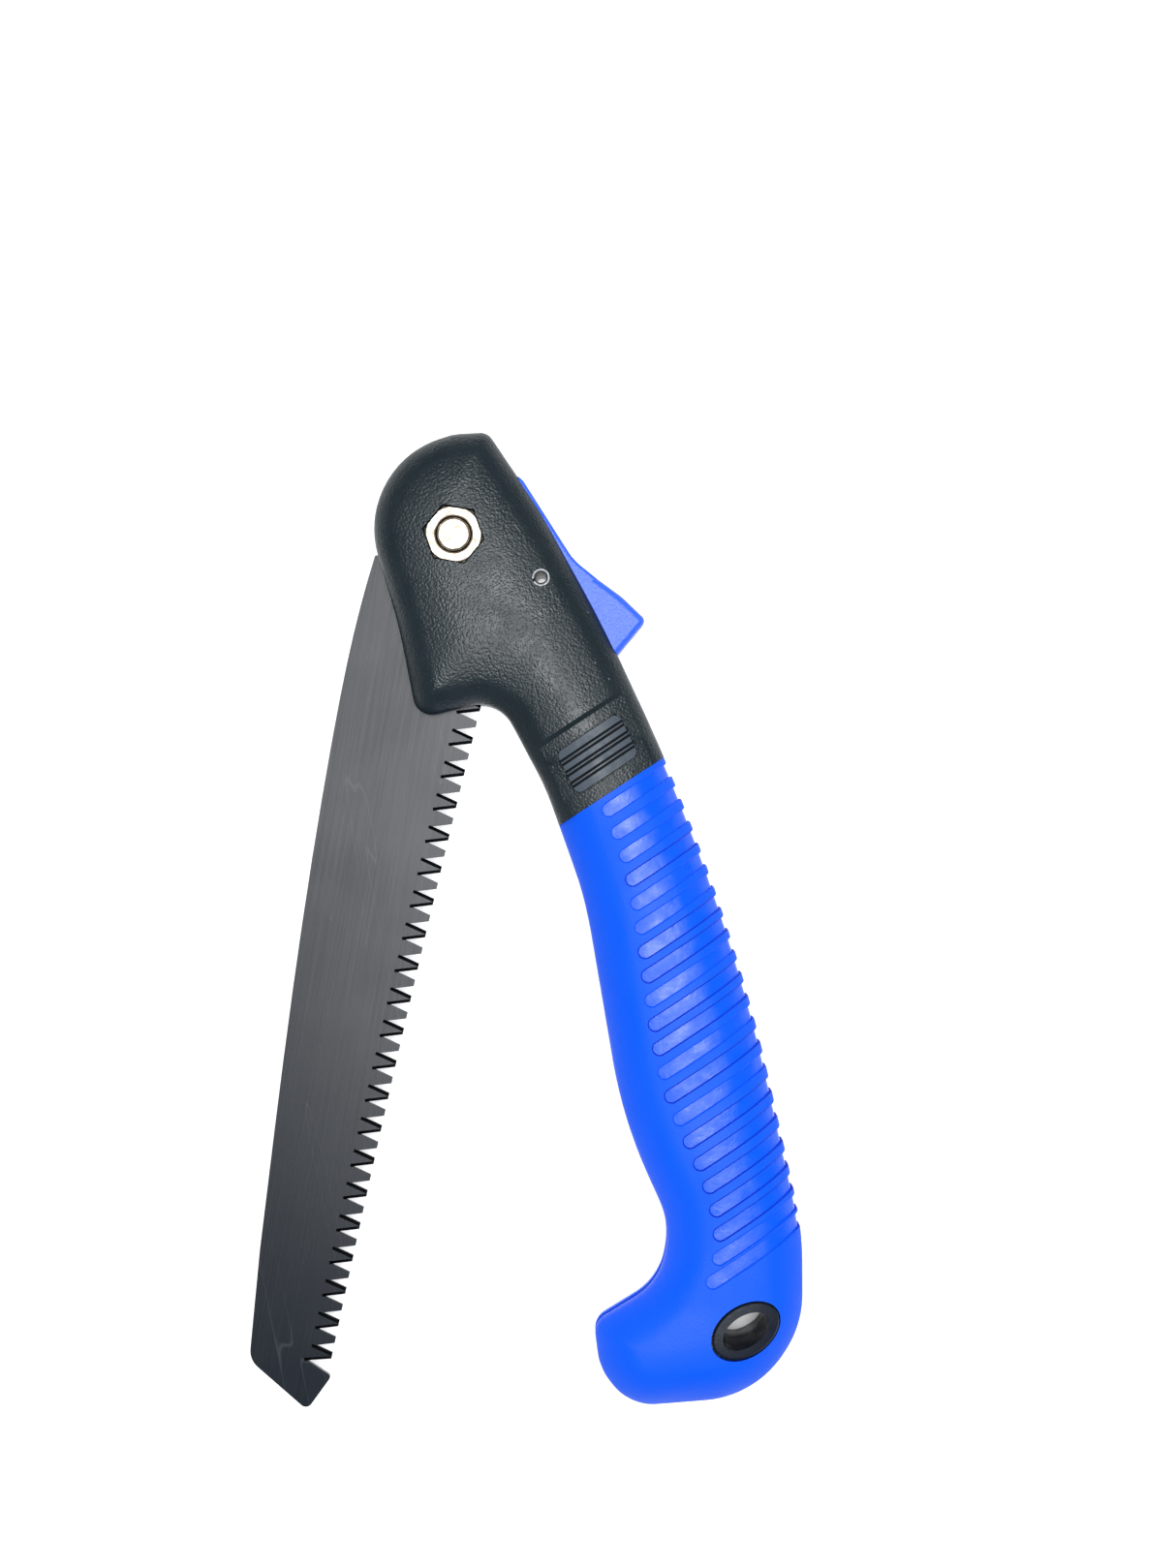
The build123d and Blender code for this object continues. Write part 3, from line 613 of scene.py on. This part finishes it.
# The split spring washer under the nut is phosphated: dark grey, matt and crystalline.
phosphated, shader = new_finish(
    "phosphated_spring_steel", Base_Color=linear("4a4a4c"), Roughness=0.55, Metallic=1.0
)
where = put(phosphated, "ShaderNodeTexCoord").outputs["Object"]
crystals = put(phosphated, "ShaderNodeTexVoronoi", {"Vector": where, "Scale": 1 / (0.3 * mm)})
crystal_colour = put(
    phosphated,
    "ShaderNodeMix",
    {0: crystals.outputs["Distance"], 6: linear("56565a"), 7: linear("333336")},
    data_type="RGBA",
)
feed(phosphated, crystal_colour.outputs[2], shader, "Base Color")
crystal_bump = put(
    phosphated,
    "ShaderNodeBump",
    {"Height": crystals.outputs["Distance"], "Distance": 0.05 * mm, "Strength": 0.5},
)
feed(phosphated, crystal_bump.outputs["Normal"], shader, "Normal")
give(phosphated, "spring_washer")

# The bush is hardened and ground, with fine rings along its length.
ground_steel, shader = new_finish(
    "ground_bush_steel", Base_Color=linear("a9a9a8"), Roughness=0.28, Metallic=1.0
)
where = put(ground_steel, "ShaderNodeTexCoord").outputs["Object"]
grinding = put(
    ground_steel, "ShaderNodeMapping", {0: where, "Scale": (1 / (8 * mm), 1 / (8 * mm), 1 / (0.2 * mm))}
)
ground_marks = put(
    ground_steel, "ShaderNodeTexNoise", {"Vector": grinding.outputs[0], "Scale": 1.0, "Detail": 3.0}
)
ground_dullness = put(
    ground_steel, "ShaderNodeMapRange", {0: ground_marks.outputs["Fac"], 1: 0.35, 2: 0.65, 3: 0.2, 4: 0.38}
)
feed(ground_steel, ground_dullness.outputs["Result"], shader, "Roughness")
give(ground_steel, "pivot_bush")

# The thrust washers are punched from natural nylon sheet: milky, waxy and slightly yellow.
natural_nylon, shader = new_finish(
    "natural_nylon", Base_Color=linear("e4dfd0"), Roughness=0.45, Subsurface_Weight=0.15
)
where = put(natural_nylon, "ShaderNodeTexCoord").outputs["Object"]
cloud = put(
    natural_nylon, "ShaderNodeTexNoise", {"Vector": where, "Scale": 1 / (3 * mm), "Detail": 3.0}
)
clouded = put(
    natural_nylon,
    "ShaderNodeMix",
    {0: cloud.outputs["Fac"], 6: linear("ece8dc"), 7: linear("d3cbb4")},
    data_type="RGBA",
)
feed(natural_nylon, clouded.outputs[2], shader, "Base Color")
give(natural_nylon, "thrust_washer_near", "thrust_washer_far")

# ------------------------------------------------------------------ blade
# Carbon steel with a low-friction coating, brushed lengthwise before it was coated, then ground
# on alternate flanks of its teeth. The coating looks mid grey where it faces the light and blue
# black away from it. Every face tilted well away from level, the ground flanks and the blade's edges among
# them, is coloured near-black as painted shade.
blade_slope = math.radians(-120)
brush_length = 30 * mm
brush_width = 0.45 * mm         # real strokes are near 0.1 mm, and are drawn coarser to show
coat_colour = linear("0e1924")
blade_coat, shader = new_finish(
    "coated_carbon_steel", Base_Color=coat_colour, Roughness=0.26, Specular_IOR_Level=0.2
)
coordinates = put(blade_coat, "ShaderNodeTexCoord")
where = coordinates.outputs["Object"]
brushing = put(
    blade_coat,
    "ShaderNodeMapping",
    {0: where, "Rotation": (0, 0, blade_slope), "Scale": (brush_length, brush_width, brush_width)},
    vector_type="TEXTURE",
)
strokes = put(
    blade_coat, "ShaderNodeTexNoise", {"Vector": brushing.outputs[0], "Scale": 1.0, "Detail": 3.0}
)
smudges = put(
    blade_coat, "ShaderNodeTexNoise", {"Vector": where, "Scale": 1 / (22 * mm), "Detail": 3.0}
)
stroke_bump = put(
    blade_coat,
    "ShaderNodeBump",
    {"Height": strokes.outputs["Fac"], "Distance": 0.02 * mm, "Strength": 0.35},
)
feed(blade_coat, stroke_bump.outputs["Normal"], shader, "Normal")
marks = put(
    blade_coat,
    "ShaderNodeMath",
    {0: strokes.outputs["Fac"], 1: smudges.outputs["Fac"]},
    operation="ADD",
)
coat_dullness = put(
    blade_coat, "ShaderNodeMapRange", {0: marks.outputs["Value"], 1: 0.75, 2: 1.25, 3: 0.23, 4: 0.3}
)
feed(blade_coat, coat_dullness.outputs["Result"], shader, "Roughness")

# A few hairline scratches run aslant across the brushing, where wood has dragged along the flat.
drag = put(
    blade_coat,
    "ShaderNodeMapping",
    {0: where, "Rotation": (0, 0, math.radians(-98)), "Scale": (70 * mm, 5 * mm, 5 * mm)},
    vector_type="TEXTURE",
)
drag_noise = put(
    blade_coat, "ShaderNodeTexNoise", {"Vector": drag.outputs[0], "Scale": 1.0, "Detail": 0.0}
)
from_level = put(
    blade_coat, "ShaderNodeMath", {0: drag_noise.outputs["Fac"], 1: 0.62}, operation="SUBTRACT"
)
level_offset = put(blade_coat, "ShaderNodeMath", {0: from_level.outputs[0]}, operation="ABSOLUTE")
scratch = put(
    blade_coat, "ShaderNodeMapRange", {0: level_offset.outputs[0], 1: 0.0, 2: 0.006, 3: 0.14, 4: 0.0}
)
scratched = put(
    blade_coat,
    "ShaderNodeMix",
    {0: scratch.outputs["Result"], 6: coat_colour, 7: linear("7d8286")},
    data_type="RGBA",
)
# Painted shade: faces that tilt away from level turn near-black, whatever their finish.
normal_parts = put(blade_coat, "ShaderNodeSeparateXYZ", {0: coordinates.outputs["Normal"]})
upright = put(blade_coat, "ShaderNodeMath", {0: normal_parts.outputs["Z"]}, operation="ABSOLUTE")
steep_face_shade = put(
    blade_coat, "ShaderNodeMapRange", {0: upright.outputs["Value"], 1: 0.8, 2: 0.95, 3: 1.0, 4: 0.0}
)
coat_with_painted_shade = put(
    blade_coat,
    "ShaderNodeMix",
    {0: steep_face_shade.outputs["Result"], 6: scratched.outputs[2], 7: linear("06080a")},
    data_type="RGBA",
)
feed(blade_coat, coat_with_painted_shade.outputs[2], shader, "Base Color")
give(blade_coat, "blade")

# ------------------------------------------------------------------ lock
# The release lever rocks on a rolled spring pin through the head, and a coil spring pushes its
# steel pawl against the blade's tang. Lever and thumb pad are one blue nylon, slightly violet,
# with a sparkling grain.
lever_blue, shader = new_finish(
    "moulded_blue_nylon", Base_Color=linear("3268f8"), Roughness=0.42, Specular_IOR_Level=0.5
)
where = put(lever_blue, "ShaderNodeTexCoord").outputs["Object"]
spark = put(
    lever_blue, "ShaderNodeTexVoronoi", {"Vector": where, "Scale": 1 / (0.5 * mm)}, feature="SMOOTH_F1"
)
spark_bump = put(
    lever_blue,
    "ShaderNodeBump",
    {"Height": spark.outputs["Distance"], "Distance": 0.12 * mm, "Strength": 0.6},
    invert=True,
)
feed(lever_blue, spark_bump.outputs["Normal"], shader, "Normal")
flow = put(lever_blue, "ShaderNodeTexNoise", {"Vector": where, "Scale": 1 / (8 * mm), "Detail": 2.0})
flow_colour = put(
    lever_blue,
    "ShaderNodeMix",
    {0: flow.outputs["Fac"], 6: linear("2c62f4"), 7: linear("3a70fc")},
    data_type="RGBA",
)
feed(lever_blue, flow_colour.outputs[2], shader, "Base Color")
give(lever_blue, "release_lever", "thumb_pad")

# The pawl is cut from hardened strip and ground along its length.
pawl_steel, shader = new_finish(
    "hardened_pawl_steel", Base_Color=linear("7c7c7e"), Roughness=0.32, Metallic=1.0
)
where = put(pawl_steel, "ShaderNodeTexCoord").outputs["Object"]
pawl_marks = put(
    pawl_steel, "ShaderNodeMapping", {0: where, "Scale": (1 / (0.25 * mm), 1 / (6 * mm), 1 / (0.25 * mm))}
)
pawl_noise = put(
    pawl_steel, "ShaderNodeTexNoise", {"Vector": pawl_marks.outputs[0], "Scale": 1.0, "Detail": 3.0}
)
pawl_dullness = put(
    pawl_steel, "ShaderNodeMapRange", {0: pawl_noise.outputs["Fac"], 1: 0.35, 2: 0.65, 3: 0.24, 4: 0.42}
)
feed(pawl_steel, pawl_dullness.outputs["Result"], shader, "Roughness")
give(pawl_steel, "lock_pawl")

# The pin is rolled from blued strip: nearly black, with a lighter rim round its end that is a painted
# highlight.
blued_pin, shader = new_finish(
    "blued_pin_steel", Base_Color=linear("2c2e32"), Roughness=0.3, Metallic=1.0
)
coordinates = put(blued_pin, "ShaderNodeTexCoord")
pin_low, pin_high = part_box("lever_pin")
pin_axis = (pin_low + pin_high) / 2
pin_radius = (pin_high.x - pin_low.x) / 2
flat_pin = put(
    blued_pin,
    "ShaderNodeVectorMath",
    {0: coordinates.outputs["Object"], 1: (1, 1, 0)},
    operation="MULTIPLY",
)
from_axis = put(
    blued_pin,
    "ShaderNodeVectorMath",
    {0: flat_pin.outputs["Vector"], 1: (pin_axis.x, pin_axis.y, 0)},
    operation="DISTANCE",
)
# A lighter ring just inside the pin's edge, broken up by noise: a painted highlight.
rim_painted_highlight = put(
    blued_pin,
    "ShaderNodeMapRange",
    {0: from_axis.outputs["Value"], 1: pin_radius - 0.45 * mm, 2: pin_radius - 0.15 * mm, 3: 0.0, 4: 1.0},
)
scale_marks = put(
    blued_pin,
    "ShaderNodeTexNoise",
    {"Vector": coordinates.outputs["Object"], "Scale": 1 / (0.6 * mm), "Detail": 3.0},
)
rim_highlight_share = put(
    blued_pin,
    "ShaderNodeMath",
    {0: rim_painted_highlight.outputs["Result"], 1: scale_marks.outputs["Fac"]},
    operation="MULTIPLY",
)
pin_colour = put(
    blued_pin,
    "ShaderNodeMix",
    {0: rim_highlight_share.outputs["Value"], 6: linear("121315"), 7: linear("6d7072")},
    data_type="RGBA",
)
feed(blued_pin, pin_colour.outputs[2], shader, "Base Color")
give(blued_pin, "lever_pin")

# The spring is hard-drawn wire, bright grey and faintly mottled by the drawing soap.
drawn_wire, shader = new_finish(
    "drawn_spring_wire", Base_Color=linear("8a8884"), Roughness=0.3, Metallic=1.0
)
where = put(drawn_wire, "ShaderNodeTexCoord").outputs["Object"]
die_streaks = put(
    drawn_wire, "ShaderNodeTexNoise", {"Vector": where, "Scale": 1 / (0.4 * mm), "Detail": 2.0}
)
streaked = put(
    drawn_wire,
    "ShaderNodeMix",
    {0: die_streaks.outputs["Fac"], 6: linear("9b9994"), 7: linear("6c6a66")},
    data_type="RGBA",
)
feed(drawn_wire, streaked.outputs[2], shader, "Base Color")
give(drawn_wire, "lever_spring")
